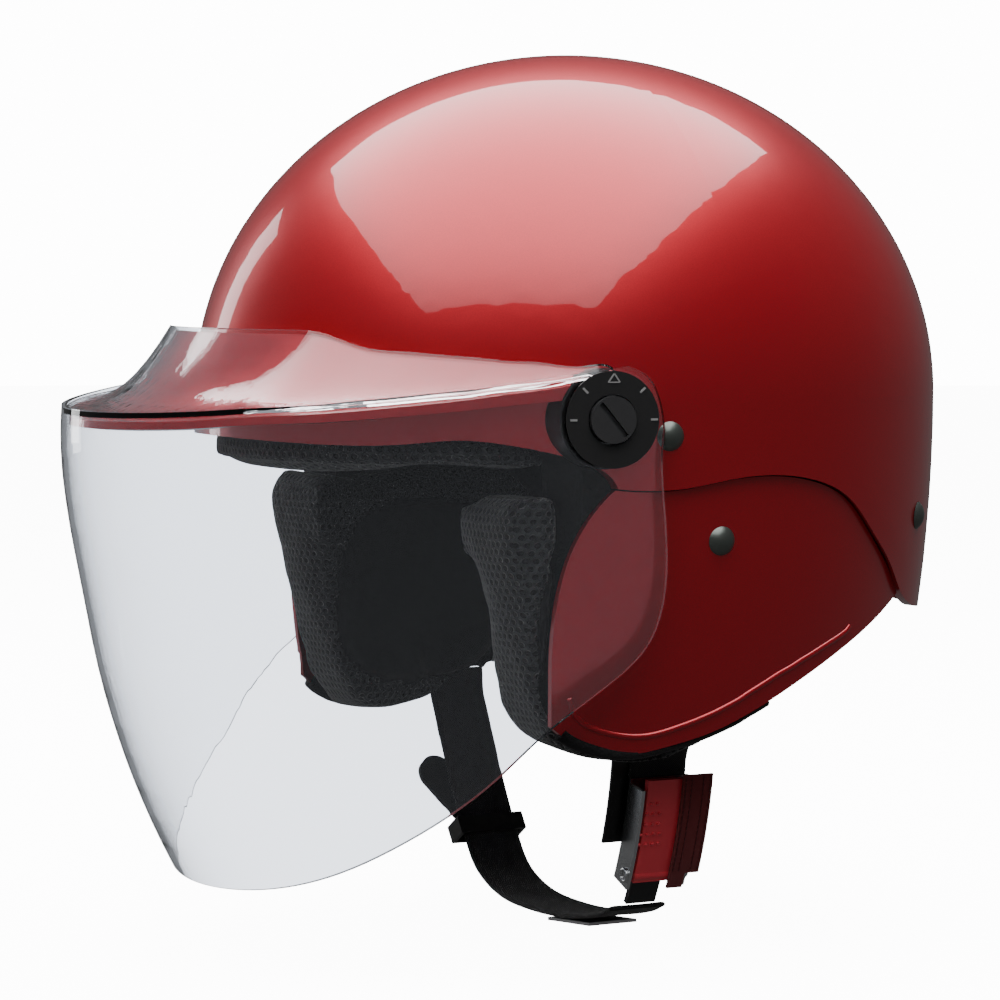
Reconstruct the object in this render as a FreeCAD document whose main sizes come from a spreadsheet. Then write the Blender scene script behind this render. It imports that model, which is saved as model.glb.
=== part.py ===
import FreeCAD, Part
import math
import os

# Open-face scooter helmet with a clear bubble visor. Front is -Y, wearer's left is +X, up is +Z.
# The origin is the centre of the head. Lengths are millimetres, angles degrees.
os.makedirs("parts", exist_ok=True)
doc = FreeCAD.newDocument("helmet")
V = FreeCAD.Vector

sizes = {
    "halfWidth": 122.5,       # outer shell, side to side
    "halfLength": 140.0,      # outer shell, front to back
    "crownHeight": 123.2,     # widest line up to the crown
    "skirtHeight": 285.0,     # how slowly the shell draws in below the widest line
    "shellWall": 4.2,
    "panelInset": 2.0,        # ear panels sit this far inside the dome skin
    "linerStart": 4.6,
    "linerEnd": 30.0,
    "crownPadEnd": 42.0,
    "trimStart": 6.0,
    "browBandEnd": 34.0,
    "faceHalfWidth": 66.0,
    "pivotForward": 53.0,     # visor pivot, forward of and below the origin
    "pivotDrop": 5.0,
    "visorWall": 2.0,
    "visorCentre": 20.0,
    "brimGap": 1.0,
    "brimWall": 2.6,
    "baseRadius": 17.0,
    "bushRadius": 6.0,
    "ringRadius": 16.5,
    "ringHole": 8.6,
    "dialRadius": 8.0,
    "dialHeight": 2.4,
    "dialTilt": 12.0,
    "rivetRadius": 3.8,
    "anchorDrop": 100.0,
    "anchorForward": 6.0,
    "anchorLeft": 80.0,
    "anchorRight": 76.0,
    "strapWidth": 24.0,
    "strapWall": 1.8,
    "buckleWidth": 24.0,
    "tongueWidth": 12.0,
    "tongueWall": 2.0,
    "tabWidth": 19.0,
}
sheet = doc.addObject("Spreadsheet::Sheet", "Sizes")
for row, (alias, value) in enumerate(sizes.items(), 1):
    sheet.set(f"A{row}", alias)
    sheet.set(f"B{row}", str(value))
    sheet.setAlias(f"B{row}", alias)
doc.recompute()
S = type("S", (), sizes)
nodes = {}


def keep(obj, node):
    obj.Label = node
    nodes[node] = obj
    return obj


def bind(obj, **props):
    for prop, expression in props.items():
        obj.setExpression(prop, expression)
    return obj


def prim(kind, name, **props):
    return bind(doc.addObject("Part::" + kind, name), **props)


def boolean(kind, name, a, b):
    obj = doc.addObject("Part::" + kind, name)
    obj.Base, obj.Tool = a, b
    return obj


def coded(name, shape):
    obj = doc.addObject("Part::Feature", name)
    obj.Shape = shape
    return obj


# ---- the dome: an upper and a lower half ellipsoid that share their widest section
def dome(name, inset):
    halves = []
    for part, low, high, height in (("Up", 0, 90, "crownHeight"), ("Low", -90, 0, "skirtHeight")):
        half = prim("Ellipsoid", name + part, Radius1=f"Sizes.{height} - ({inset})",
                    Radius2=f"Sizes.halfWidth - ({inset})", Radius3=f"Sizes.halfLength - ({inset})")
        half.Angle1, half.Angle2 = low, high
        halves.append(half)
    return boolean("Fuse", name, *halves)


def domeX(y, z, inset=0.0):
    height = (S.crownHeight if z > 0 else S.skirtHeight) - inset
    room = 1 - (y / (S.halfLength - inset)) ** 2 - (z / height) ** 2
    return (S.halfWidth - inset) * math.sqrt(max(room, 0.0))


def domeNormal(p, inset=0.0):
    height = (S.crownHeight if p.z > 0 else S.skirtHeight) - inset
    n = V(p.x / (S.halfWidth - inset) ** 2, p.y / (S.halfLength - inset) ** 2, p.z / height ** 2)
    return n.normalize()


# ---- side-view outlines, as (y, z), swept right across the helmet
def curve(points):
    line = Part.BSplineCurve()
    line.interpolate([V(0, y, z) for y, z in points])
    return line.toShape()


def outline(name, *runs, low=-200.0, high=200.0):
    edges = []
    for run in runs:
        edges.append(curve(run) if len(run) > 2 else Part.makeLine(V(0, *run[0]), V(0, *run[1])))
    face = Part.Face(Part.Wire(edges))
    face.translate(V(low, 0, 0))
    return coded(name, face.extrude(V(high - low, 0, 0)))


def shifted(points, dy=0.0, dz=0.0):
    return [(y + dy, z + dz) for y, z in points]


rim = [(-175, -12), (-150, -12.5), (-118, -14.6), (-106, -13.6), (-95, -12.4), (-81, -13.8), (-64, -17.7),
       (-57, -20), (-50, -24), (-46.5, -29)]
step = [(-46.5, -29), (-34, -29.8), (-22, -29.2), (-6, -26.6), (10, -25.4), (32, -28), (49, -35), (63, -47.5),
        (77, -61), (86, -71), (110, -79), (160, -81)]
panelTop = shifted(step[:10], dz=-0.5)
panelFront = [(-46.5, -29.5), (-58, -46), (-64, -80), (-62, -111)]
panelLow = [(-62, -111), (-58, -114.5), (-46, -119.5), (-35, -121.2), (-23.6, -119.4), (-7.7, -115.4),
            (9.6, -108.7), (28, -100), (49, -90), (74, -78), (86, -71.5)]

skin, skinInside = dome("Skin", "0"), dome("SkinInside", "Sizes.shellWall")
shellKeep = outline("ShellKeep", rim, step, [(160, -81), (160, 150)], [(160, 150), (-175, 150)],
                    [(-175, 150), (-175, -12)])
shellRaw = boolean("Cut", "ShellRaw", skin, skinInside)
shellCut = boolean("Common", "ShellCut", shellRaw, shellKeep)
pivot = V(0, -S.pivotForward, -S.pivotDrop)
alongX = FreeCAD.Rotation(V(0, 1, 0), 90)
pockets = []
for side, start in (("left", 111.5), ("right", -141.5)):
    pocket = prim("Cylinder", "PivotPocket_" + side, Radius="Sizes.bushRadius + 0.3", Height="30")
    pocket.Placement = FreeCAD.Placement(pivot + V(start, 0, 0), alongX)
    pockets.append(pocket)
keep(boolean("Cut", "Shell", shellCut, boolean("Fuse", "PivotPockets", *pockets)), "outer_shell")

# ---- ear side panels, tucked 2 mm inside the dome skin
panelSkin, panelInside = dome("PanelSkin", "Sizes.panelInset"), dome("PanelInside", "Sizes.shellWall")
panelRaw = boolean("Cut", "PanelRaw", panelSkin, panelInside)
for side, low, high in (("left", 0.0, 200.0), ("right", -200.0, 0.0)):
    area = outline("PanelArea_" + side, panelTop, panelLow[::-1], panelFront[::-1], low=low, high=high)
    keep(boolean("Common", "Panel_" + side, panelRaw, area), "side_panel_" + side)

# ---- impact liner, comfort pads and brow band
linerFront = shifted(rim[:8], dz=3.0)
linerEar = [(-57, -17), (-56, -45), (-58.5, -80), (-56, -106)]
linerLow = [(-56, -106), (-35, -116), (-8, -110), (28, -95), (74, -73), (90, -69), (115, -75), (160, -77)]
linerSkin, linerInside = dome("LinerSkin", "Sizes.linerStart"), dome("LinerInside", "Sizes.linerEnd")
linerRaw = boolean("Cut", "LinerRaw", linerSkin, linerInside)
linerKeep = outline("LinerKeep", linerFront, linerEar, linerLow, [(160, -77), (160, 150)],
                    [(160, 150), (-175, 150)], [(-175, 150), (-175, -9)])
keep(boolean("Common", "Liner", linerRaw, linerKeep), "impact_liner")

padSkin, padInside = dome("PadSkin", "Sizes.linerEnd + 0.4"), dome("PadInside", "Sizes.crownPadEnd")
padRaw = boolean("Cut", "PadRaw", padSkin, padInside)
padBox = prim("Box", "PadBox", Length="300", Width="300", Height="200")
padBox.Placement.Base = V(-150, -150, 8)
keep(boolean("Common", "CrownPad", padRaw, padBox), "crown_pad")

bandSkin, bandInside = dome("BandSkin", "Sizes.trimStart"), dome("BandInside", "Sizes.browBandEnd")
bandRaw = boolean("Cut", "BandRaw", bandSkin, bandInside)
bandTop = shifted(rim[:7], dz=2.5)
bandLow = shifted(rim[:7], dz=-9.5)
bandKeep = outline("BandKeep", bandTop, [bandTop[-1], bandLow[-1]], bandLow[::-1], [bandLow[0], bandTop[0]])
keep(boolean("Common", "BrowBand", bandRaw, bandKeep), "brow_band")

cheekSkin, cheekLiner = dome("CheekSkin", "Sizes.trimStart"), dome("CheekLiner", "Sizes.linerEnd + 0.5")
cheekBlock = boolean("Cut", "CheekBlock", dome("CheekOuter", "Sizes.linerStart - 0.4"), cheekLiner)
cheekAvoid = boolean("Common", "CheekAvoid", cheekBlock, outline(
    "CheekAvoidArea", [(-62, -10), (-58.9, -45), (-61.4, -80), (-59, -108.5)], [(-59, -108.5), (-36, -119.2),
    (-8, -113.4), (28, -98.4), (60, -84)], [(60, -84), (60, -10)], [(60, -10), (-62, -10)]))
facePlug = prim("Ellipsoid", "FacePlug", Radius1="240", Radius2="Sizes.faceHalfWidth", Radius3="130")
facePlug.Angle1 = -90
facePlug.Placement.Base = V(0, 0, -60)
cheekSolid = boolean("Cut", "CheekSolid", boolean("Cut", "CheekSolidA", cheekSkin, facePlug), cheekAvoid)
cheekFront = [(-66, -30), (-77, -36), (-75, -60), (-70, -85), (-63, -110), (-52, -122)]
cheekLow = [(-52, -122), (-34, -124.5), (-12, -121), (10, -111), (24, -98), (26, -70), (24, -40), (12, -31)]
for side, sign in (("left", 1), ("right", -1)):
    low, high = sorted((0.0, 200.0 * sign))
    area = outline("CheekArea_" + side, cheekFront, cheekLow, [(12, -31), (-66, -30)], low=low, high=high)
    pad = boolean("Common", "Cheek_" + side, cheekSolid, area)
    slot = prim("Box", "CheekSlot_" + side, Length="25", Width="50", Height="60")
    slot.Placement.Base = V(71.0 if sign > 0 else -93.0, -S.anchorForward - 27, -142)
    keep(boolean("Cut", "CheekPad_" + side, pad, slot), "cheek_pad_" + side)


# ---- clear visor and red brim: surfaces laid over a grid, given a wall thickness
visorLevels = [(24, 124, 171), (0, 124, 173.5), (-20, 124, 174), (-41, 124, 171.5), (-69, 122.5, 166),
               (-101, 120, 159), (-130, 117.5, 149.5), (-155, 115, 138.5), (-182, 111, 124)]


def atLevel(column, z):
    """Smooth value between the visor levels (Hermite segments through the table)."""
    rows = visorLevels
    i = 0
    while i < len(rows) - 2 and z < rows[i + 1][0]:
        i += 1

    def slope(k):
        a, b = rows[max(k - 1, 0)], rows[min(k + 1, len(rows) - 1)]
        return (b[column] - a[column]) / (b[0] - a[0])

    (z0, z1), (f0, f1) = (rows[i][0], rows[i + 1][0]), (rows[i][column], rows[i + 1][column])
    h = z1 - z0
    t = (z - z0) / h
    return (f0 * (1 + 2 * t) * (1 - t) ** 2 + slope(i) * h * t * (1 - t) ** 2
            + f1 * t * t * (3 - 2 * t) + slope(i + 1) * h * t * t * (t - 1))


def creaseHeight(turn):
    return min(-3.3 + 13.7 * (turn / 74.5) ** 2, 13.2)


def blendStep(x):
    x = min(max(x, 0.0), 1.0)
    return x * x * (3 - 2 * x)


def edgeHeight(turn):
    return 25.0 - 6.0 * blendStep((turn - 26) / 14) - 7.0 * blendStep((turn - 30) / 55)


def slab(point, turns, ways, near, far, lean=20.0):
    """Solid between two offsets of the surface point(turn, way)."""
    wires = []
    for turn in turns:
        rows = [[], []]
        for way in ways:
            p = point(turn, way)
            a = point(turn + 0.2, way).sub(point(turn - 0.2, way))
            b = point(turn, way + 0.002).sub(point(turn, way - 0.002))
            n = a.cross(b).normalize()
            if n.dot(V(0.3 * p.x, 0.3 * (p.y + S.visorCentre), lean)) < 0:
                n = V(-n.x, -n.y, -n.z)
            for row, inset in zip(rows, (near, far)):
                depth = inset(turn, way) if callable(inset) else inset
                row.append(V(p.x - n.x * depth, p.y - n.y * depth, p.z - n.z * depth))
        outer, inner = Part.BSplineCurve(), Part.BSplineCurve()
        outer.interpolate(rows[0])
        inner.interpolate(rows[1][::-1])
        wires.append(Part.Wire([outer.toShape(), Part.makeLine(rows[0][-1], rows[1][-1]), inner.toShape(),
                                Part.makeLine(rows[1][0], rows[0][0])]))
    faces = list(Part.makeLoft(wires, False, False).Faces)
    for wire in (wires[0], wires[-1]):
        faces.append(Part.makeFilledFace(wire.Edges))
    shell = Part.makeShell(faces)
    shell.sewShape(0.001)
    solid = Part.makeSolid(shell.Shells[0])
    return solid if solid.Volume > 0 else solid.reversed()


def facePoint(turn, way):
    top = creaseHeight(abs(turn))
    z = top + (-182.0 - top) * way
    wide, long = atLevel(1, z), atLevel(2, z)
    angle = math.radians(turn)
    return V(wide * math.sin(angle), -S.visorCentre - long * math.cos(angle), z)


def ledgePoint(turn, way):
    size = abs(turn)
    angle = math.radians(turn)
    high, low = edgeHeight(size), creaseHeight(size)
    wide = 123.2 + 0.8 * way
    long = 128.5 + 44.8 * way
    drop = (1 - way) ** 2 if way < 1 else 0.0
    along = math.sin(math.pi * min(max(way, 0.0), 1.0))
    dish = 3.5 * along * math.cos(angle)
    ridge = 1.2 * along * math.exp(-((size - 27 - 6 * way) / 6.0) ** 2)
    return V(wide * math.sin(angle), -S.visorCentre - long * math.cos(angle),
             low + (high - low) * drop - dish + ridge)


def spaced(low, high, count):
    return [low + (high - low) * i / (count - 1) for i in range(count)]


turns = spaced(-87, 87, 33)
face = slab(facePoint, turns, spaced(0, 1, 17), 0.0, S.visorWall)
ledge = slab(ledgePoint, spaced(-76, 76, 33), spaced(0.0, 0.985, 9), 0.15, S.visorWall, lean=150.0)
visorLow = [(-33, -9), (-32.5, -40), (-33, -70.5), (-37, -81), (-50, -94), (-74.5, -113), (-88, -127),
            (-116, -151), (-138, -166.5), (-153, -172.5), (-168, -174), (-215, -174)]
visorBack = [(-60, 40), (-48, 13.2), (-39, 9), (-35, 2), (-33, -9)]
visorKeep = outline("VisorKeep", visorBack, visorLow, [(-215, -174), (-215, 40)], [(-215, 40), (-60, 40)])
visorRaw = boolean("Fuse", "VisorRaw", coded("VisorFace", face), coded("VisorLedge", ledge))
visorCut = boolean("Common", "VisorCut", visorRaw, visorKeep)
bore = prim("Cylinder", "PivotBore", Radius="Sizes.bushRadius - 1.5", Height="400")
bore.Placement = FreeCAD.Placement(pivot + V(-200, 0, 0), alongX)
keep(boolean("Cut", "Visor", visorCut, bore), "visor")

# red brim under the clear ledge, blended down on to the dome
def brimDepth(turn, way):
    return S.visorWall + S.brimGap + S.brimWall + 9.0 * max(1 - way, 0.0) ** 2


brimTurns = spaced(-72, 72, 25)
brimBlock = slab(ledgePoint, brimTurns, spaced(0.01, 0.94, 9), S.visorWall + S.brimGap, brimDepth,
                  lean=150.0)
brimSolid = coded("BrimBlock", brimBlock)
skinGrown = dome("SkinGrown", "-0.05")
visorZone = coded("VisorZone", slab(facePoint, spaced(-89, 89, 25), spaced(-0.15, 0.35, 9), -8.0, 3.0))
seats = prim("Cylinder", "PivotSeats", Radius="Sizes.baseRadius + 0.4", Height="400")
seats.Placement = FreeCAD.Placement(pivot + V(-200, 0, 0), alongX)
brimInner = boolean("Cut", "BrimInner", brimSolid, visorZone)
brimOuter = boolean("Cut", "BrimOuter", brimInner, skinGrown)
keep(boolean("Cut", "Brim", brimOuter, seats), "brim")

# ---- visor pivots
dialGap = 1.3
for side, sign in (("left", 1), ("right", -1)):
    inward = FreeCAD.Rotation(V(0, 1, 0), 90 * sign)
    tilted = FreeCAD.Rotation(V(0, 0, 1), -S.dialTilt * sign).multiply(inward)
    wallX = facePoint(77.9, 0.02).x
    seat = pivot + V(sign * wallX, 0, 0)
    outward = tilted.multVec(V(0, 0, 1))

    block = prim("Cylinder", "BaseBlock_" + side, Radius="Sizes.baseRadius", Height="14")
    block.Placement = FreeCAD.Placement(pivot + V(sign * (wallX - 5.0 - 14), 0, 0), inward)
    socket = prim("Cylinder", "BaseSocket_" + side, Radius="Sizes.bushRadius + 0.08", Height="6")
    socket.Placement = FreeCAD.Placement(pivot + V(sign * (wallX - 8.2), 0, 0), inward)
    base = boolean("Cut", "BaseA_" + side, block, skinGrown)
    keep(boolean("Cut", "Base_" + side, base, socket), "visor_base_" + side)

    bushBlock = prim("Cylinder", "BushBlock_" + side, Radius="Sizes.bushRadius", Height="4.6")
    bushHole = prim("Cylinder", "BushHole_" + side, Radius="Sizes.bushRadius - 1.5", Height="4.6")
    bushBlock.Placement = bushHole.Placement = FreeCAD.Placement(pivot + V(sign * (wallX - 7.4), 0, 0), inward)
    keep(boolean("Cut", "Bush_" + side, bushBlock, bushHole), "pivot_bush_" + side)

    def disc(name, radius, start, height, hole=None):
        part = prim("Cylinder", name + side, Radius=radius, Height=height)
        part.Placement = FreeCAD.Placement(seat + V(outward).multiply(start), tilted)
        if hole is None:
            return part
        gap = prim("Cylinder", name + "Hole_" + side, Radius=hole, Height="40")
        gap.Placement = FreeCAD.Placement(seat + V(outward).multiply(start - 20), tilted)
        return boolean("Cut", name + "Cut_" + side, part, gap)

    ringBlock = disc("Ring_", "Sizes.ringRadius", -3.0, "5.2", "Sizes.ringHole")
    visorGrown = coded("RingSeat_" + side, slab(facePoint, spaced(60 * sign, 89 * sign, 9)
                       if sign > 0 else spaced(-89, -60, 9), spaced(-0.1, 0.4, 6), -0.7, 14.0))
    keep(boolean("Cut", "IndexRing_" + side, ringBlock, visorGrown), "index_ring_" + side)

    head = disc("DialHead_", "Sizes.dialRadius", dialGap, "Sizes.dialHeight")
    shank = disc("DialShank_", "2.2", -4.6, "6.2")
    slot = prim("Box", "DialSlot_" + side, Length="14.4", Width="1.6", Height="3")
    slot.Placement = FreeCAD.Placement(seat + V(outward).multiply(dialGap + S.dialHeight - 1.3), tilted).multiply(
        FreeCAD.Placement(V(0, 0, 0), FreeCAD.Rotation(V(0, 0, 1), 39 * sign))).multiply(
        FreeCAD.Placement(V(-7.2, -0.8, 0), FreeCAD.Rotation()))
    screw = boolean("Fuse", "DialBody_" + side, head, shank)
    keep(boolean("Cut", "Dial_" + side, screw, slot), "dial_" + side)

# ---- rivets, on the dome and the ear panels
rivetPlaces = (("upper", -28.7, -11.2, 0.0), ("panel", -7.1, -47.7, S.panelInset), ("rear", 96.7, -44.0, 0.0))
for place, y, z, inset in rivetPlaces:
    for side, sign in (("left", 1), ("right", -1)):
        spot = V(sign * domeX(y, z, inset), y, z)
        normal = domeNormal(spot, inset)
        button = prim("Sphere", "Button_" + place + side, Radius="6.6")
        cap = prim("Cylinder", "RivetBlock_" + place + side, Radius="Sizes.rivetRadius + 1.7", Height="4")
        turn = FreeCAD.Rotation(V(0, 0, 1), normal)
        button.Placement.Base = spot - V(normal).multiply(4.2)
        cap.Placement = FreeCAD.Placement(spot + V(normal).multiply(0.06), turn)
        keep(boolean("Common", "Rivet_" + place + side, cap, button), f"rivet_{place}_{side}")

# ---- rear reflective patch
patchSkin, patchUnder = dome("PatchSkin", "-0.5"), dome("PatchUnder", "-0.05")
patchArea = prim("Box", "PatchArea", Length="50", Width="60", Height="16")
patchArea.Placement.Base = V(-25, 100, -58)
keep(boolean("Common", "Patch", boolean("Cut", "PatchRaw", patchSkin, patchUnder), patchArea),
     "rear_reflector")


# ---- chin strap. The far half swings open about the right anchor, so the tongue, the buckle channel
# ---- and the release tab are all arcs about that anchor.
anchorL = V(S.anchorLeft, -S.anchorForward, -S.anchorDrop)
anchorR = V(-S.anchorRight, -S.anchorForward, -S.anchorDrop - 8)
buckle = V(74, -S.anchorForward, -150)
reach = buckle.sub(anchorR)
arcRadius = math.hypot(reach.x, reach.z)
buckleAngle = math.degrees(math.atan2(reach.z, reach.x))


def onArc(radius, angle, y=0.0):
    a = math.radians(angle)
    return V(anchorR.x + radius * math.cos(a), anchorR.y + y, anchorR.z + radius * math.sin(a))


def sector(inner, outer, start, end, width, lift=0.0):
    """Arc-shaped plate about the right anchor; angles are relative to the buckle centre."""
    a, b = buckleAngle + start, buckleAngle + end
    mid = (a + b) / 2
    y = lift - width / 2
    edges = [Part.Arc(onArc(outer, a, y), onArc(outer, mid, y), onArc(outer, b, y)).toShape(),
             Part.makeLine(onArc(outer, b, y), onArc(inner, b, y)),
             Part.Arc(onArc(inner, b, y), onArc(inner, mid, y), onArc(inner, a, y)).toShape(),
             Part.makeLine(onArc(inner, a, y), onArc(outer, a, y))]
    return Part.Face(Part.Wire(edges)).extrude(V(0, width, 0))


def webbing(points, wall, width):
    """Flat strap following a smooth path of (x, z) points, extruded across its width."""
    sides = []
    line = Part.BSplineCurve()
    line.interpolate([V(x, 0, z) for x, z in points])
    first, last = line.FirstParameter, line.LastParameter
    for offset in (wall / 2, -wall / 2):
        run = []
        for i in range(25):
            u = first + (last - first) * i / 24
            t = line.tangent(u)[0]
            run.append(line.value(u) + V(-t.z, 0, t.x).multiply(offset) + V(0, anchorR.y - width / 2, 0))
        side = Part.BSplineCurve()
        side.interpolate(run)
        sides.append((side.toShape(), run))
    (a, ra), (b, rb) = sides
    wire = Part.Wire([a, Part.makeLine(ra[-1], rb[-1]), b, Part.makeLine(rb[0], ra[0])])
    return Part.Face(wire).extrude(V(0, width, 0))


top = onArc(arcRadius - 3.2, buckleAngle + 8.0)
low = onArc(arcRadius - 3.2, buckleAngle + 5.8)
leftPath = [(anchorL.x, anchorL.z + 7), (anchorL.x, anchorL.z - 4), (79.4, -115), (77.6, -122),
            (top.x, top.z), (low.x, low.z)]
leftWeb = webbing(leftPath, S.strapWall, S.strapWidth)
pinHole = Part.makeCylinder(3.06, 20, V(anchorL.x - 10, anchorL.y, anchorL.z), V(1, 0, 0))
keep(coded("WebbingLeft", leftWeb.cut(pinHole)), "webbing_left")

channel = sector(arcRadius - 2.1, arcRadius - 1.0, 6.0, -8.2, S.buckleWidth)
walls = [sector(arcRadius - 1.0, arcRadius + 7.2, 5.2, -8.2, 1.3, lift) for lift in (-11.35, 11.35)]
guides = [sector(arcRadius - 1.0, arcRadius + 1.6, 4.5, -7.4, 2.6, lift) for lift in (-8.6, 8.6)]
baseSolid = channel
for piece in walls + guides:
    baseSolid = baseSolid.fuse(piece)
pinPoint = onArc(arcRadius + 4.6, buckleAngle - 6.6)
pinBore = Part.makeCylinder(1.55, 40, pinPoint - V(0, 20, 0), V(0, 1, 0))
keep(coded("BuckleBase", baseSolid.cut(pinBore).removeSplitter()), "buckle_base")
pin = prim("Cylinder", "BucklePin", Radius="1.5", Height="24.6")
pin.Placement = FreeCAD.Placement(pinPoint + V(0, -12.3, 0), FreeCAD.Rotation(V(1, 0, 0), -90))
keep(pin, "buckle_pin")
flap = sector(arcRadius - 5.5, arcRadius - 4.4, 9.5, -3.5, 28.0, -4.0)
keep(coded("Flap", flap), "strap_flap")

tongue = sector(arcRadius - S.tongueWall / 2 + 0.3, arcRadius + S.tongueWall / 2 + 0.3, 2.0, -12.0,
                S.tongueWidth)
keep(coded("Tongue", tongue), "ratchet_tongue")
tabPlate = sector(arcRadius + 4.6, arcRadius + 6.8, 6.4, -7.4, S.tabWidth)
hub = Part.makeCylinder(2.6, S.tabWidth, pinPoint - V(0, S.tabWidth / 2, 0), V(0, 1, 0))
keep(coded("ReleaseTab", tabPlate.fuse(hub).cut(Part.makeCylinder(1.55, 40, pinPoint - V(0, 20, 0),
                                                                  V(0, 1, 0)))), "release_tab")
ribbon = sector(arcRadius + 7.6, arcRadius + 8.6, 7.0, -6.2, 12.0, 10.0)
ribbonEnd = sector(arcRadius + 7.6, arcRadius + 8.6, -6.2, -8.2, 6.2, 7.2)
keep(coded("PullRibbon", ribbon.fuse(ribbonEnd).removeSplitter()), "pull_ribbon")

end = onArc(arcRadius + 0.3, buckleAngle - 12.8)
rightPath = [(end.x, end.z), (51, -186), (30, -189.5), (4, -190.5), (-20, -188.5), (-38, -181), (-49, -167),
             (-60, -148), (-69, -130), (-74.5, -118), (anchorR.x, anchorR.z - 1.2)]
keep(coded("WebbingRight", webbing(rightPath, S.strapWall, S.strapWidth)), "webbing_right")

# loose strap end, keeper and the plate under the chin
tail = Part.makeBox(1.8, 15, 26).fuse(Part.makeCylinder(7.5, 1.8, V(0, 7.5, 26), V(1, 0, 0)))
tail.translate(V(0, -7.5, 2))
tail = tail.removeSplitter()
tail.rotate(V(0, 0, 0), V(1, 0, 0), 30)
tail.rotate(V(0, 0, 0), V(0, 1, 0), -33)
tail.translate(V(-51.9, anchorR.y, -168.7))
keep(coded("StrapTail", tail), "strap_tail")
keeper = Part.makeBox(9.6, 28, 7).cut(Part.makeBox(7.0, 25, 20, V(1.3, 1.5, -5)))
keeper.translate(V(-5.4, -14, -3.5))
keeper.rotate(V(0, 0, 0), V(0, 1, 0), -34)
keeper.translate(V(-49.9, anchorR.y, -167.5))
keep(coded("StrapKeeper", keeper), "strap_keeper")
plate = Part.makeBox(30, 20, 1.2)
plate.rotate(V(0, 0, 0), V(0, 1, 0), -4)
plate.translate(V(14, anchorR.y - 10, -193.4))
keep(coded("ChinPlate", plate), "chin_plate")

for side, spot, sign in (("left", anchorL, 1), ("right", anchorR, -1)):
    post = prim("Cylinder", "AnchorPost_" + side, Radius="3", Height="6")
    post.Placement = FreeCAD.Placement(V(spot.x - 3, spot.y, -S.anchorDrop), alongX)
    keep(post, "strap_anchor_" + side)
link = Part.makeBox(1.6, 22, 18, V(anchorR.x - 0.8, anchorR.y - 11, anchorR.z - 0.3))
keep(coded("AnchorLink", link.cut(Part.makeCylinder(3.06, 20, V(anchorR.x - 10, anchorR.y, anchorR.z + 8),
                                                    V(1, 0, 0)))), "anchor_link_right")

doc.recompute()
for node, obj in nodes.items():
    shape = obj.Shape
    bad = [s for s in obj.State if s in ("Invalid", "Error")]
    if bad or shape.isNull() or not shape.isValid() or shape.Volume <= 0:
        raise SystemExit(f"{node}: {bad} null={shape.isNull()} valid={not shape.isNull() and shape.isValid()}")
    shape.exportStep(f"parts/{node}.step")
    box = shape.BoundBox
    print(f"{node:20s} solids {len(shape.Solids)} volume {shape.Volume / 1000:9.2f} cm3  "
          f"x {box.XMin:.1f}..{box.XMax:.1f} y {box.YMin:.1f}..{box.YMax:.1f} z {box.ZMin:.1f}..{box.ZMax:.1f}")
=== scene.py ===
import bpy
import bmesh
import math
from mathutils import Matrix, Vector
from mathutils.bvhtree import BVHTree


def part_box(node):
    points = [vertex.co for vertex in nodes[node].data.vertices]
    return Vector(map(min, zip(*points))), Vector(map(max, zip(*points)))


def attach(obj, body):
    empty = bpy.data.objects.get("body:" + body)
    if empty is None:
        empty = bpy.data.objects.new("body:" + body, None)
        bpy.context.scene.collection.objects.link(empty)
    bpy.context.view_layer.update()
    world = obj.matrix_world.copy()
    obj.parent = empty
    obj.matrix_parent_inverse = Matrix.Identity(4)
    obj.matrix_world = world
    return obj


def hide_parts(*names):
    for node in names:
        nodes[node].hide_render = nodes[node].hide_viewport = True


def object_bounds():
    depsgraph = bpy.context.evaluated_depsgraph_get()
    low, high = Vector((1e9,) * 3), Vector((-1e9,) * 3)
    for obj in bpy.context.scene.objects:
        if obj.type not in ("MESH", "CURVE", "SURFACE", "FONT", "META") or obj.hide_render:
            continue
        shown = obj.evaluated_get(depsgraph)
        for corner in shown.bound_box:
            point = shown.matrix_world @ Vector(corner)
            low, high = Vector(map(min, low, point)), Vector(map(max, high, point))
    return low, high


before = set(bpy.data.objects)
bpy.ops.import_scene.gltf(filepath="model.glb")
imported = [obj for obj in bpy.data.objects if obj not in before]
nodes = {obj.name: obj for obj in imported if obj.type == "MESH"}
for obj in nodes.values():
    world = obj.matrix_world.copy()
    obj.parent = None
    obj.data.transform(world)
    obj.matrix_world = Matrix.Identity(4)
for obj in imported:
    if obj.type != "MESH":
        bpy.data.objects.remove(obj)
cadBox = [list(corner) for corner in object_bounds()]
print("frame loaded", len(nodes), "nodes")


# shader maths: sockets that add, multiply and compare like numbers
class Sock:
    def __init__(self, graph, socket):
        self.graph, self.socket = graph, socket

    def math(self, operation, *others):
        return self.graph.node("ShaderNodeMath", {"operation": operation}, [self, *others])

    def __add__(self, other): return self.math("ADD", other)
    def __sub__(self, other): return self.math("SUBTRACT", other)
    def __rsub__(self, other): return self.graph.value(other) - self
    def __mul__(self, other): return self.math("MULTIPLY", other)
    def __truediv__(self, other): return self.math("DIVIDE", other)
    def sin(self): return self.math("SINE")
    def above(self, other): return self.math("GREATER_THAN", other)
    def least(self, other): return self.math("MINIMUM", other)
    def fraction(self): return self.math("FRACT")
    def root(self): return self.math("SQRT")
    def clamped(self): return self.graph.node("ShaderNodeClamp", inputs=[self, 0.0, 1.0])


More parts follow.
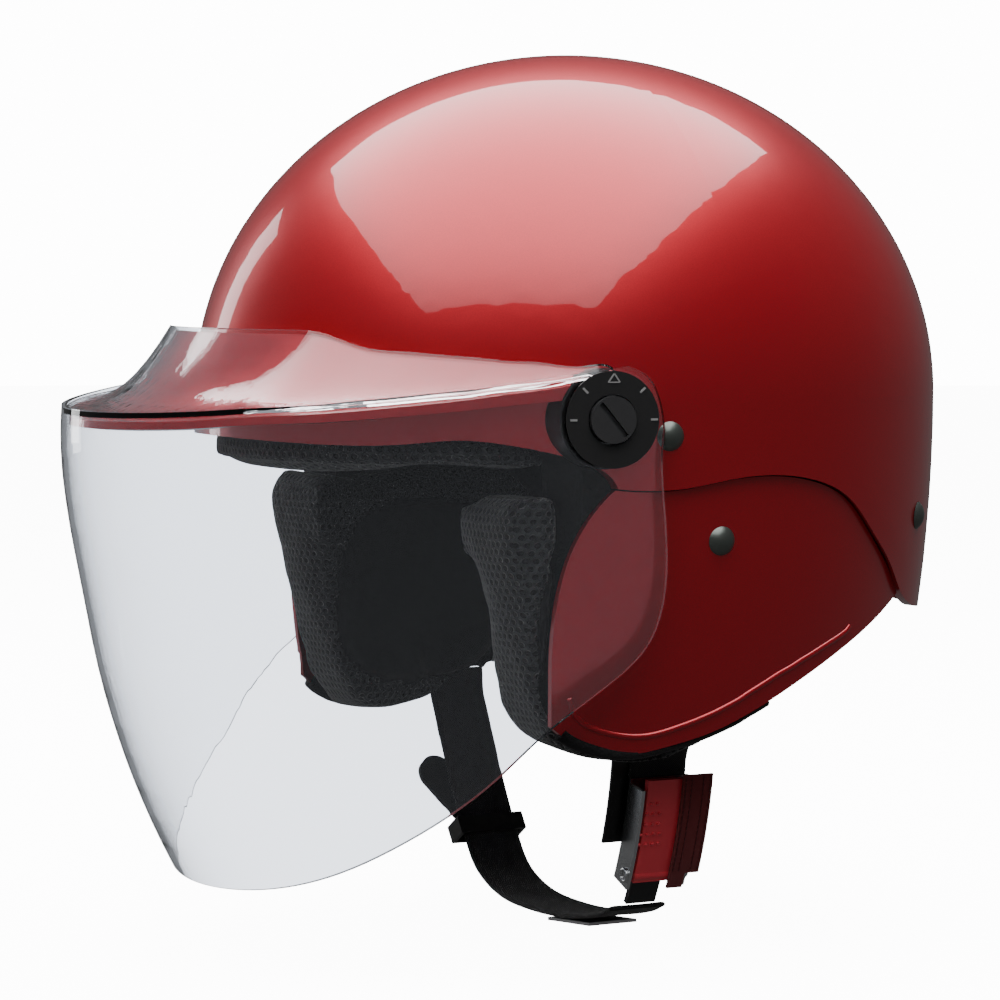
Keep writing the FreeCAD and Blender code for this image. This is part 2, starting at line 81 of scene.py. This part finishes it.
class Graph:
    def __init__(self, tree):
        self.tree = tree

    def node(self, kind, settings=None, inputs=None, out=0):
        made = self.tree.nodes.new(kind)
        for key, value in (settings or {}).items():
            setattr(made, key, value)
        pairs = enumerate(inputs) if isinstance(inputs, (list, tuple)) else (inputs or {}).items()
        for key, value in pairs:
            if isinstance(value, Sock):
                self.tree.links.new(value.socket, made.inputs[key])
            else:
                made.inputs[key].default_value = value
        return Sock(self, made.outputs[out])

    def value(self, number):
        return self.node("ShaderNodeMath", {"operation": "ADD"}, [number, 0.0])

    def coords(self, name=None):
        if name:
            return self.node("ShaderNodeUVMap", {"uv_map": name})
        return self.node("ShaderNodeTexCoord", out="Object")

    def split(self, vector):
        made = self.tree.nodes.new("ShaderNodeSeparateXYZ")
        self.tree.links.new(vector.socket, made.inputs[0])
        return [Sock(self, s) for s in made.outputs]

    def noise(self, vector, scale, detail=2.0):
        return self.node("ShaderNodeTexNoise", inputs={"Vector": vector, "Scale": scale, "Detail": detail})

    def mixColor(self, factor, a, b):
        made = self.tree.nodes.new("ShaderNodeMix")
        made.data_type = "RGBA"
        for socket, value in ((made.inputs[0], factor), (made.inputs[6], a), (made.inputs[7], b)):
            if isinstance(value, Sock):
                self.tree.links.new(value.socket, socket)
            else:
                socket.default_value = value
        return Sock(self, made.outputs[2])

    def bump(self, height, strength, distance):
        settings = {"Height": height, "Strength": strength, "Distance": distance}
        return self.node("ShaderNodeBump", inputs=settings)


# a principled material. constants are set on its sockets; build(graph) may return varying inputs
def material(name, constants, build=None):
    made = bpy.data.materials.new(name)
    made.use_nodes = True
    graph = Graph(made.node_tree)
    shader = made.node_tree.nodes["Principled BSDF"]
    for key, value in constants.items():
        shader.inputs[key].default_value = value
    for key, socket in (build(graph) if build else {}).items():
        graph.tree.links.new(socket.socket, shader.inputs[key])
    return made


def wear(obj, mat):
    obj.data.materials.clear()
    obj.data.materials.append(mat)
    return obj


# finishes
candy = {"flake": 2600.0, "light": (0.62, 0.005, 0.018, 1), "dark": (0.42, 0.003, 0.012, 1)}
# the hole colour of the mesh fabric is painted shade inside the hex holes
mesh = {"pitch": 0.0031, "hole": 0.36, "fabric": (0.055, 0.058, 0.06, 1), "holeShade": (0.003, 0.003, 0.003, 1)}
weave = {"rib": 0.0011, "cord": 0.0009, "color": (0.012, 0.012, 0.012, 1)}


def candyPaint(g):
    speck = g.noise(g.coords(), candy["flake"], 1.0)
    return {"Base Color": g.mixColor(speck, candy["dark"], candy["light"])}


# distance from the nearest centre of a hexagonal grid, in pitches
def hexDistance(u, v, pitch):
    found = None
    for shift in (0.0, 0.5):
        a = (u / pitch + shift).fraction() - 0.5
        b = ((v / (pitch * math.sqrt(3)) + shift).fraction() - 0.5) * math.sqrt(3)
        away = (a * a + b * b).root()
        found = away if found is None else found.least(away)
    return found


def meshFabric(g):
    u, v, _ = g.split(g.coords("cloth"))
    # holes masks the hex holes: the bump sinks them and they are coloured near-black as painted shade inside
    # them
    holes = ((mesh["hole"] - hexDistance(u, v, mesh["pitch"])) * 9.0).clamped()
    fuzz = g.noise(g.coords(), 1200.0, 3.0)
    return {"Base Color": g.mixColor(holes, mesh["fabric"], mesh["holeShade"]),
            "Normal": g.bump(fuzz * 0.3 - holes, 0.9, 0.0008)}


def brushedFabric(g):
    p = g.coords()
    tone = g.noise(p, 60.0, 3.0)
    return {"Base Color": g.mixColor(tone, (0.006, 0.006, 0.007, 1), (0.014, 0.014, 0.015, 1)),
            "Normal": g.bump(g.noise(p, 1800.0, 4.0), 0.7, 0.0004)}


def wovenStrap(g):
    u, v, _ = g.split(g.coords("strap"))
    ribs = ((u / weave["rib"]) * math.tau).sin() * ((v / weave["cord"]) * math.tau).sin()
    return {"Normal": g.bump(ribs + g.noise(g.coords(), 1500.0) * 0.5, 0.6, 0.0003)}


def grained(scale, strength, distance):
    def build(g):
        return {"Normal": g.bump(g.noise(g.coords(), scale, 4.0), strength, distance)}
    return build


red = material("candyRed", {"Metallic": 0.55, "Roughness": 0.34, "Coat Weight": 1.0, "Coat Roughness": 0.03,
                            "Coat IOR": 1.5}, candyPaint)
clear = material("clearVisor", {"Base Color": (0.97, 0.978, 0.99, 1), "Roughness": 0.0, "IOR": 1.49,
                                "Transmission Weight": 1.0})
foam = material("blackFoam", {"Base Color": (0.02, 0.02, 0.02, 1), "Roughness": 0.9},
                grained(700.0, 0.7, 0.0008))
fabric = material("spacerMesh", {"Roughness": 0.85, "Sheen Weight": 0.4, "Sheen Roughness": 0.5}, meshFabric)
plush = material("brushedFabric", {"Roughness": 0.95, "Sheen Weight": 0.15}, brushedFabric)
webbing = material("strapWeave", {"Base Color": weave["color"], "Roughness": 0.7, "Sheen Weight": 0.25},
                   wovenStrap)
vinyl = material("blackVinyl", {"Base Color": (0.012, 0.012, 0.012, 1), "Roughness": 0.33},
                 grained(900.0, 0.25, 0.0003))
satinBlack = material("satinBlack", {"Base Color": (0.022, 0.022, 0.023, 1), "Roughness": 0.38},
                      grained(1800.0, 0.06, 0.0002))
dialBlack = material("dialBlack", {"Base Color": (0.04, 0.04, 0.042, 1), "Roughness": 0.42},
                     grained(1800.0, 0.08, 0.0002))
marks = material("markGrey", {"Base Color": (0.35, 0.35, 0.35, 1), "Roughness": 0.35})
gunmetal = material("gunmetal", {"Base Color": (0.16, 0.18, 0.165, 1), "Metallic": 0.85, "Roughness": 0.36},
                    grained(1200.0, 0.05, 0.0002))
steel = material("plateSteel", {"Base Color": (0.62, 0.63, 0.64, 1), "Metallic": 1.0, "Roughness": 0.24})
tabRed = material("tabRed", {"Base Color": (0.95, 0.06, 0.085, 1), "Roughness": 0.33, "Coat Weight": 0.4},
                  grained(900.0, 0.05, 0.0002))
ribbonRed = material("ribbonRed", {"Base Color": (0.16, 0.006, 0.008, 1), "Roughness": 0.75,
                                   "Sheen Weight": 0.3}, grained(2400.0, 0.5, 0.0002))
threadRed = material("redThread", {"Base Color": (0.09, 0.004, 0.006, 1), "Roughness": 0.6},
                     grained(6000.0, 0.3, 0.0001))
threadBlack = material("blackThread", {"Base Color": (0.03, 0.03, 0.03, 1), "Roughness": 0.6},
                       grained(6000.0, 0.3, 0.0001))
mirrorPatch = material("reflector", {"Base Color": (0.75, 0.76, 0.78, 1), "Metallic": 0.9, "Roughness": 0.22})
print("materials ready")

looks = {"outer_shell": red, "brim": red, "side_panel_left": red, "side_panel_right": red,
         "impact_liner": foam, "visor": clear, "rear_reflector": mirrorPatch,
         "release_tab": tabRed, "pull_ribbon": ribbonRed, "buckle_base": steel, "buckle_pin": steel,
         "ratchet_tongue": satinBlack, "strap_flap": vinyl, "anchor_link_right": steel}
for side in ("left", "right"):
    looks.update({"visor_base_" + side: satinBlack, "index_ring_" + side: satinBlack,
                  "pivot_bush_" + side: satinBlack, "dial_" + side: dialBlack,
                  "rivet_upper_" + side: gunmetal, "rivet_panel_" + side: gunmetal,
                  "rivet_rear_" + side: gunmetal, "strap_anchor_" + side: steel})
for node, mat in looks.items():
    wear(nodes[node], mat)

# shapes shared by the modelled pieces
def meshObject(name, verts, faces, mat, body, slot, smooth=True):
    data = bpy.data.meshes.new(name)
    data.from_pydata([tuple(v) for v in verts], [], faces)
    data.validate()
    bm = bmesh.new()
    bm.from_mesh(data)
    bmesh.ops.recalc_face_normals(bm, faces=bm.faces)
    bm.to_mesh(data)
    bm.free()
    return finishPiece(bpy.data.objects.new(name, data), mat, body, smooth)


def finishPiece(obj, mat, body, smooth=True):
    if obj.name not in bpy.context.scene.collection.objects:
        bpy.context.scene.collection.objects.link(obj)
    wear(obj, mat)
    for face in obj.data.polygons:
        face.use_smooth = smooth
    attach(obj, body)
    return obj


# catmull-Rom points through the given ones
def smoothPath(points, steps):
    pts = [Vector(p) for p in points]
    pts = [pts[0] * 2 - pts[1]] + pts + [pts[-1] * 2 - pts[-2]]
    run = []
    for a, b, c, d in zip(pts, pts[1:], pts[2:], pts[3:]):
        for i in range(steps):
            t = i / steps
            run.append(((b * 2) + (c - a) * t + (a * 2 - b * 5 + c * 4 - d) * t * t
                        + (b * 3 - a - c * 3 + d) * t ** 3) * 0.5)
    run.append(pts[-2])
    return run


# vertices and faces of a round tube along a path
def tube(path, radius, sides, closed=False):
    verts, faces, count = [], [], len(path)
    normal = None
    for i, p in enumerate(path):
        ahead = path[(i + 1) % count] if closed or i + 1 < count else p
        behind = path[i - 1] if closed or i else p
        along = (ahead - behind).normalized()
        if normal is None:
            normal = along.orthogonal().normalized()
        normal = (normal - along * normal.dot(along)).normalized()
        other = along.cross(normal)
        for k in range(sides):
            turn = math.tau * k / sides
            verts.append(p + normal * radius * math.cos(turn) + other * radius * math.sin(turn))
    for i in range(count if closed else count - 1):
        for k in range(sides):
            a, b = i * sides + k, i * sides + (k + 1) % sides
            faces.append((a, b, (b + sides) % len(verts), (a + sides) % len(verts)))
    if not closed:
        faces += [tuple(reversed(range(sides))), tuple(range(len(verts) - sides, len(verts)))]
    return verts, faces


# the CAD node's shape as a merged bmesh, in the row frame
def copyOf(node):
    bm = bmesh.new()
    bm.from_mesh(nodes[node].data)
    bmesh.ops.remove_doubles(bm, verts=bm.verts, dist=0.00002)
    return bm


# a plain mesh object holding what the modifiers of obj give
def bakedFrom(obj, name):
    bpy.context.view_layer.update()
    data = bpy.data.meshes.new_from_object(obj.evaluated_get(bpy.context.evaluated_depsgraph_get()))
    bpy.data.objects.remove(obj)
    made = bpy.data.objects.new(name, data)
    bpy.context.scene.collection.objects.link(made)
    return made


# a UV map called cloth, in metres, projected along each face's main direction
def boxMap(obj):
    layer = obj.data.uv_layers.new(name="cloth")
    for face in obj.data.polygons:
        n = [abs(c) for c in face.normal]
        keep = [axis for axis in (0, 1, 2) if axis != n.index(max(n))]
        for loop in face.loop_indices:
            co = obj.data.vertices[obj.data.loops[loop].vertex_index].co
            layer.data[loop].uv = (co[keep[0]], co[keep[1]])


# pads: each is remeshed; those given a cap are blown up as cloth, then capped so that they stay in their
# place
pads = {"voxel": 0.0045, "pressure": 4.0, "frames": 20, "inset": 0.0012,
        "cap": {"crown_pad": 0.0, "brow_band": 0.003, "cheek_pad_left": 0.005, "cheek_pad_right": 0.005}}


def blowUp(obj, cap):
    before = [v.co.copy() for v in obj.data.vertices]
    cloth = obj.modifiers.new("cloth", "CLOTH")
    cloth.settings.use_pressure = True
    cloth.settings.uniform_pressure_force = pads["pressure"]
    cloth.settings.effector_weights.gravity = 0.0
    cloth.point_cache.frame_end = pads["frames"]
    for step in range(1, pads["frames"] + 1):
        bpy.context.scene.frame_set(step)
    moved = obj.evaluated_get(bpy.context.evaluated_depsgraph_get()).to_mesh()
    after = [v.co.copy() for v in moved.vertices]
    obj.modifiers.remove(cloth)
    bpy.context.scene.frame_set(1)
    for v, a, b in zip(obj.data.vertices, before, after):
        step = b - a
        v.co = a + step * min(1.0, cap / max(step.length, 1e-9))


def pad(node, body, mat, seams, inner=None):
    bm = copyOf(node)
    data = bpy.data.meshes.new(node + "_soft")
    bm.to_mesh(data)
    bm.free()
    rough = bpy.data.objects.new(node + "_soft", data)
    bpy.context.scene.collection.objects.link(rough)
    remesh = rough.modifiers.new("remesh", "REMESH")
    remesh.mode, remesh.voxel_size = "VOXEL", pads["voxel"]
    obj = bakedFrom(rough, node + "_padding")
    for v, n in [(v, v.normal.copy()) for v in obj.data.vertices]:
        v.co -= n * pads["inset"]
    cap = pads["cap"][node]
    if cap:
        blowUp(obj, cap)
    smooth = obj.modifiers.new("smooth", "SMOOTH")
    smooth.iterations, smooth.factor = 3, 0.5
    finer = obj.modifiers.new("finer", "SUBSURF")
    finer.levels = finer.render_levels = 1
    obj = bakedFrom(obj, node + "_cover")
    for v, n in [(v, v.normal.copy()) for v in obj.data.vertices]:
        v.co -= n * seams(v.co)
    boxMap(obj)
    finishPiece(obj, mat, body)
    if inner:
        obj.data.materials.append(plush)
        for face in obj.data.polygons:
            face.material_index = int(inner(face.center))
    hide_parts(node)
    print("pad", node, len(obj.data.polygons))
    return obj


def groove(distance, width, depth):
    return depth * math.exp(-(distance / width) ** 2)


def crownSeams(p):
    turn = math.atan2(p.x, -p.y)
    ribs = abs(math.remainder(turn, math.radians(60))) * math.hypot(p.x, p.y)
    return groove(ribs, 0.003, 0.0022) + groove(p.z - 0.045, 0.003, 0.0018)


cheekLow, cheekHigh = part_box("cheek_pad_left")
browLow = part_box("brow_band")[0].z


# 0 at the middle of a cheek pad's side, 1 at its edge
def cheekRing(p):
    low, high = cheekLow, cheekHigh
    y, z = (low.y + high.y) / 2, (low.z + high.z) / 2
    a, b = abs(p.y - y) / (high.y - low.y) * 2, abs(p.z - z) / (high.z - low.z) * 2
    return (a ** 3 + b ** 3) ** (1 / 3)


def cheekSeams(p):
    return groove((cheekRing(p) - 0.74) * 0.05, 0.002, 0.0024)


def browSeams(p):
    return groove(p.z - browLow - 0.004, 0.0014, 0.0012)


pad("crown_pad", "helmet", plush, crownSeams)
pad("brow_band", "helmet", fabric, browSeams)
for side in ("left", "right"):
    pad("cheek_pad_" + side, "helmet", fabric, cheekSeams, lambda p: cheekRing(p) < 0.74)
print("pads ready")

# straps
strap = {"width": 0.0234, "wall": 0.0019, "y": -0.006}
reachX, reachZ = 0.150, -0.042
arc = {"x": -0.076, "z": -0.108, "radius": math.hypot(reachX, reachZ), "turn": math.atan2(reachZ, reachX)}


def onArc(rise, degrees, across=0.0):
    turn = arc["turn"] + math.radians(degrees)
    radius = arc["radius"] + rise
    return Vector((arc["x"] + radius * math.cos(turn), strap["y"] + across,
                   arc["z"] + radius * math.sin(turn)))


# a flat woven band through the points (x, z), with rolled edges and its own map along it
def ribbonPiece(name, points, width, wall, mat, body, slot, middle=0.0):
    path = smoothPath([(x, strap["y"] + middle, z) for x, z in points], 14)
    section = [(-0.5, 0.0), (-0.47, 0.42), (-0.40, 0.5), (-0.2, 0.44), (0.0, 0.42), (0.2, 0.44), (0.40, 0.5),
               (0.47, 0.42), (0.5, 0.0), (0.47, -0.42), (0.40, -0.5), (0.2, -0.44), (0.0, -0.42),
               (-0.2, -0.44), (-0.40, -0.5), (-0.47, -0.42)]
    verts, faces, length, lengths = [], [], 0.0, []
    for i, p in enumerate(path):
        along = (path[min(i + 1, len(path) - 1)] - path[max(i - 1, 0)]).normalized()
        out = Vector((0, 1, 0)).cross(along).normalized()
        length += (p - path[i - 1]).length if i else 0.0
        lengths.append(length)
        verts += [p + Vector((0, a * width, 0)) + out * (b * wall) for a, b in section]
    n = len(section)
    for i in range(len(path) - 1):
        for k in range(n):
            a, b = i * n + k, i * n + (k + 1) % n
            faces.append((a, b, b + n, a + n))
    faces += [tuple(reversed(range(n))), tuple(range(len(verts) - n, len(verts)))]
    obj = meshObject(name, verts, faces, mat, body, slot)
    layer = obj.data.uv_layers.new(name="strap")
    for loop in obj.data.loops:
        i, k = divmod(loop.vertex_index, n)
        layer.data[loop.index].uv = (lengths[i], section[k][0] * width)
    return obj


top, low = onArc(-0.0032, 8.0), onArc(-0.0032, 5.8)
leftRun = [(0.080, -0.093), (0.080, -0.104), (0.0794, -0.115), (0.0776, -0.122), (top.x, top.z),
           (low.x, low.z)]
end = onArc(0.0003, -12.8)
rightRun = [(end.x, end.z), (0.051, -0.186), (0.030, -0.1895), (0.004, -0.1905), (-0.020, -0.1885),
            (-0.038, -0.181), (-0.049, -0.167), (-0.060, -0.148), (-0.069, -0.130), (-0.0745, -0.118),
            (-0.076, -0.1092)]
near = ribbonPiece("strap_near", leftRun, strap["width"], strap["wall"], webbing, "strap_left", "strap_black")
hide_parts("webbing_left")
far = ribbonPiece("strap_far", rightRun, strap["width"], strap["wall"], webbing, "strap_right", "strap_black")
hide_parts("webbing_right")
print("straps ready")

# small raised repeats: dots and stitches set on points, turned along each point's own direction
def repeatGroup():
    group = bpy.data.node_groups.new("setOnPoints", "GeometryNodeTree")
    face = group.interface
    face.new_socket("Points", in_out="INPUT", socket_type="NodeSocketGeometry")
    face.new_socket("Size", in_out="INPUT", socket_type="NodeSocketVector")
    face.new_socket("Finish", in_out="INPUT", socket_type="NodeSocketMaterial")
    face.new_socket("Result", in_out="OUTPUT", socket_type="NodeSocketGeometry")
    add, link = group.nodes.new, group.links.new
    given, result = add("NodeGroupInput"), add("NodeGroupOutput")
    bead, place, turn = add("GeometryNodeMeshIcoSphere"), add("GeometryNodeInstanceOnPoints"), \
        add("FunctionNodeAlignRotationToVector")
    real, paint, along = add("GeometryNodeRealizeInstances"), add("GeometryNodeSetMaterial"), \
        add("GeometryNodeInputNamedAttribute")
    along.data_type = "FLOAT_VECTOR"
    along.inputs["Name"].default_value = "along"
    bead.inputs["Radius"].default_value = 1.0
    bead.inputs["Subdivisions"].default_value = 2
    turn.axis = "X"
    link(along.outputs["Attribute"], turn.inputs["Vector"])
    link(given.outputs["Points"], place.inputs["Points"])
    link(bead.outputs["Mesh"], place.inputs["Instance"])
    link(turn.outputs["Rotation"], place.inputs["Rotation"])
    link(given.outputs["Size"], place.inputs["Scale"])
    link(place.outputs["Instances"], real.inputs[0])
    link(real.outputs[0], paint.inputs["Geometry"])
    link(given.outputs["Finish"], paint.inputs["Material"])
    link(paint.outputs[0], result.inputs["Result"])
    return group


setOnPoints = repeatGroup()


# one bead of this size (along, across, high) at each (place, direction)
def repeats(name, spots, size, mat, body):
    data = bpy.data.meshes.new(name + "_points")
    data.from_pydata([tuple(p) for p, _ in spots], [], [])
    data.attributes.new("along", "FLOAT_VECTOR", "POINT")
    data.attributes["along"].data.foreach_set("vector", [c for _, d in spots for c in d])
    obj = bpy.data.objects.new(name + "_points", data)
    bpy.context.scene.collection.objects.link(obj)
    nodesOn = obj.modifiers.new("set", "NODES")
    nodesOn.node_group = setOnPoints
    for item in setOnPoints.interface.items_tree:
        if item.in_out == "INPUT" and item.name == "Size":
            nodesOn[item.identifier] = size
        if item.in_out == "INPUT" and item.name == "Finish":
            nodesOn[item.identifier] = mat
    return finishPiece(bakedFrom(obj, name), mat, body)


# a search tree over the outer faces of these CAD nodes
def treeOf(*names):
    bm = bmesh.new()
    for name in names:
        bm.from_mesh(nodes[name].data)
    found = BVHTree.FromBMesh(bm)
    bm.free()
    return found


# the outermost point at this y and z, looking from that side, or None
def onSide(tree, sign, y, z):
    return tree.ray_cast(Vector((sign * 0.3, y, z)), Vector((-sign, 0, 0)))[0]


# the release tab's raised dots and the ribbon's stitching
tab = {"rows": (2, 3, 3, 4, 4), "first": 3.4, "step": 1.35, "pitch": 0.0026, "middle": -0.0062,
       "dot": (0.0008, 0.0008, 0.0006)}
dots = []
for row, count in enumerate(tab["rows"]):
    for k in range(count):
        across = tab["middle"] + (k - (count - 1) / 2) * tab["pitch"]
        dots.append((onArc(0.0068, tab["first"] - row * tab["step"], across), Vector((1, 0, 0))))
repeats("release_tab_dots", dots, tab["dot"], tabRed, "release")

thread = {"long": (0.0011, 0.00032, 0.00022), "pitch": 0.7}
sewn = []
for across in (0.0050, 0.0074, 0.0122, 0.0150):
    angle = 6.4
    while angle > -5.9:
        a, b = onArc(0.0086, angle, across), onArc(0.0086, angle - 0.3, across)
        sewn.append((a, (b - a).normalized()))
        angle -= thread["pitch"]
repeats("pull_ribbon_stitches", sewn, thread["long"], threadRed, "release")
sewn = []
for k in range(12):
    for across in (-0.0088, 0.0088):
        sewn.append((Vector((0.0808, strap["y"] + across, -0.095 - k * 0.0018)), Vector((0, 0, 1))))
repeats("strap_near_stitches", sewn, thread["long"], threadBlack, "strap_left")

# the eyelet at each end of the buckle's pin
pinSpot = onArc(0.0046, -6.6)
for label, across in (("front", -0.0124), ("rear", 0.0124)):
    middle = pinSpot + Vector((0, across, 0))
    loop = [middle + Vector((math.cos(t), 0, math.sin(t))) * 0.0021
            for t in (math.tau * k / 36 for k in range(36))]
    meshObject("buckle_eyelet_" + label, *tube(loop, 0.0006, 12, True), steel, "strap_left", "steel")

# position marks on the index rings, the bead and the edge roll of the ear panels
ring = {"y": -0.053, "z": -0.005, "inner": 0.0128, "outer": 0.0152, "half": 0.00035, "rise": 0.00018,
        "arrow": 0.00022, "tip": 0.0156, "spread": 9}
bead = {"centre": (0.0, -0.065), "from": -58, "to": 74, "in": 0.0075, "radius": 0.0011, "sink": 0.0004}
roll = {"from": -50, "to": 24, "radius": 0.0026, "inward": 0.0046}


# a thin raised plate with this outline of (y, z), laid on the surface
def inlay(name, outline, tree, sign, mat, body, slot):
    hits = [onSide(tree, sign, y, z) for y, z in outline]
    if None in hits:
        print("inlay off the surface", name)
        return
    lift = Vector((sign * ring["rise"], 0, 0))
    n = len(hits)
    verts = [h + lift for h in hits] + [h - lift for h in hits]
    faces = [tuple(range(n)), tuple(range(2 * n - 1, n - 1, -1))]
    faces += [(i, (i + 1) % n, (i + 1) % n + n, i + n) for i in range(n)]
    meshObject(name, verts, faces, mat, body, slot, smooth=False)


def bar(a, b, half):
    (ay, az), (by, bz) = a, b
    length = math.hypot(by - ay, bz - az)
    ny, nz = -(bz - az) / length * half, (by - ay) / length * half
    return [(ay + ny, az + nz), (by + ny, bz + nz), (by - ny, bz - nz), (ay - ny, az - nz)]


def ringSpot(radius, degrees):
    turn = math.radians(degrees)
    return (ring["y"] + radius * math.sin(turn), ring["z"] + radius * math.cos(turn))


# the distance from the panel's centre at which it ends in this direction
def panelEdge(tree, sign, degrees, reach):
    turn = math.radians(degrees)
    r = 0.02
    while onSide(tree, sign, bead["centre"][0] + r * math.sin(turn), bead["centre"][1] - r * math.cos(turn)):
        r += 0.0005
        if r > reach:
            break
    return r


for side, sign in (("left", 1), ("right", -1)):
    tree = treeOf("index_ring_" + side)
    for degrees in (-90, -45, 45, 90):
        inlay("index_tick_%s_%d" % (side, degrees % 360),
              bar(ringSpot(ring["inner"], degrees), ringSpot(ring["outer"], degrees), ring["half"]),
              tree, sign, marks, "visor", "black_plastic")
    corners = [ringSpot(ring["tip"], 0), ringSpot(ring["inner"], -ring["spread"]),
               ringSpot(ring["inner"], ring["spread"])]
    for k, (a, b) in enumerate(zip(corners, corners[1:] + corners[:1])):
        inlay("index_arrow_%s_%d" % (side, k), bar(a, b, ring["arrow"]), tree, sign, marks, "visor",
              "black_plastic")
    tree = treeOf("side_panel_" + side)
    degrees = list(range(bead["from"], bead["to"] + 1, 2))
    reach = [panelEdge(tree, sign, d, 0.16) for d in degrees]
    for _ in range(3):
        reach = [(reach[max(i - 1, 0)] + r + reach[min(i + 1, len(reach) - 1)]) / 3
                 for i, r in enumerate(reach)]
    line, edge = [], []
    for d, r in zip(degrees, reach):
        turn = math.radians(d)
        y, z = (bead["centre"][0] + (r - bead["in"]) * math.sin(turn),
                bead["centre"][1] - (r - bead["in"]) * math.cos(turn))
        hit = onSide(tree, sign, y, z)
        if hit:
            line.append(hit - Vector((sign * bead["sink"], 0, 0)))
            if roll["from"] <= d <= roll["to"]:
                edge.append(Vector((hit.x - sign * roll["inward"],
                                    bead["centre"][0] + (r - 0.0005) * math.sin(turn),
                                    bead["centre"][1] - (r - 0.0005) * math.cos(turn))))
    meshObject("panel_bead_" + side, *tube(smoothPath(line, 3), bead["radius"], 12), red, "helmet",
               "shell_red")
    meshObject("panel_roll_" + side, *tube(smoothPath(edge, 3), roll["radius"], 14), plush, "helmet",
               "foam_black")
print("details ready")

# camera, light and floor
view = {"azimuth": 60.0, "elevation": 2.0, "distance": 1.5, "across": 0.369, "middle": (-0.0247, -0.0402)}
azimuth, elevation = math.radians(view["azimuth"]), math.radians(view["elevation"])
back = Vector((math.sin(azimuth) * math.cos(elevation), -math.cos(azimuth) * math.cos(elevation),
               math.sin(elevation)))
right = Vector((math.cos(azimuth), math.sin(azimuth), 0))
up = back.cross(right)
camera = bpy.data.objects.new("camera", bpy.data.cameras.new("camera"))
bpy.context.scene.collection.objects.link(camera)
camera.data.sensor_width = 36.0
camera.data.lens = 36.0 * view["distance"] / view["across"]
camera.data.clip_end = 50.0
place = back * view["distance"]
aim = right * view["middle"][0] + up * view["middle"][1]
lookBack = (place - aim).normalized()
lookRight = Vector((0, 0, 1)).cross(lookBack).normalized()
camera.matrix_world = (Matrix.Translation(place)
                       @ Matrix((lookRight, lookBack.cross(lookRight), lookBack)).transposed().to_4x4())
bpy.context.scene.camera = camera


def areaLight(name, where, size, power, aim=(0, 0, 0), color=(1, 1, 1)):
    lamp = bpy.data.lights.new(name, "AREA")
    lamp.shape, lamp.size, lamp.size_y = "RECTANGLE", size[0], size[1]
    lamp.energy, lamp.color = power, color
    obj = bpy.data.objects.new(name, lamp)
    bpy.context.scene.collection.objects.link(obj)
    obj.location = where
    obj.rotation_euler = (Vector(aim) - Vector(where)).to_track_quat("-Z", "Y").to_euler()
    return obj


softbox = {"where": (0.35, -0.36, 1.2), "size": (3.0, 2.0), "turn": -33.6, "power": 62.0,
           "fade": (0.1, -1.35), "least": 1.8}
key = areaLight("softboxAbove", softbox["where"], softbox["size"], softbox["power"])
key.rotation_euler = (0, 0, math.radians(softbox["turn"]))
lamp = key.data
lamp.use_nodes = True
lampGraph = Graph(lamp.node_tree)
spot = lamp.node_tree.nodes.new("ShaderNodeNewGeometry").outputs["Parametric"]
across, along, _ = lampGraph.split(Sock(lampGraph, spot))
fade = along * softbox["fade"][0] + across * softbox["fade"][1] + softbox["least"]
lamp.node_tree.links.new(fade.socket, lamp.node_tree.nodes["Emission"].inputs["Strength"])
areaLight("frontLeft", (-1.9, -0.7, 0.45), (0.4, 1.2), 6.0)

lowFill = areaLight("lowFill", (0.24, -0.16, -0.33), (0.10, 0.10), 0.22, aim=(0.07, -0.01, -0.155))
lowFill.visible_glossy = False

world = bpy.data.worlds.new("studio")
bpy.context.scene.world = world
world.use_nodes = True
g = Graph(world.node_tree)
path = world.node_tree.nodes.new("ShaderNodeLightPath")
rays = {"straight": 14.0, "through": 3.2, "inside": 0.35, "other": 0.10}
direct = Sock(g, path.outputs["Is Camera Ray"])
scattered = Sock(g, path.outputs["Diffuse Depth"]).above(0.5)
through = Sock(g, path.outputs["Is Transmission Ray"]) * (1.0 - scattered)
mirrored = Sock(g, path.outputs["Glossy Depth"]).above(0.5)
lessInside = mirrored * (rays["through"] - rays["inside"])
strength = direct * rays["straight"] + through * (rays["through"] - lessInside) + rays["other"]
backdrop = world.node_tree.nodes["Background"]
g.tree.links.new(g.mixColor(through, (1, 1, 1, 1), (0.86, 0.91, 1.0, 1)).socket, backdrop.inputs[0])
g.tree.links.new(strength.socket, backdrop.inputs[1])

floorMesh = bpy.data.meshes.new("floor")
bm = bmesh.new()
bmesh.ops.create_circle(bm, cap_ends=True, segments=96, radius=6.0)
bm.to_mesh(floorMesh)
floor = bpy.data.objects.new("floor", floorMesh)
bpy.context.scene.collection.objects.link(floor)
floor.location.z = cadBox[0][2] - 0.004
wear(floor, material("paleFloor", {"Base Color": (0.9, 0.9, 0.9, 1), "Roughness": 0.7,
                                   "Emission Color": (1, 1, 1, 1), "Emission Strength": 12.0}))
floor.visible_diffuse = floor.visible_glossy = floor.visible_transmission = False
print("stage ready")
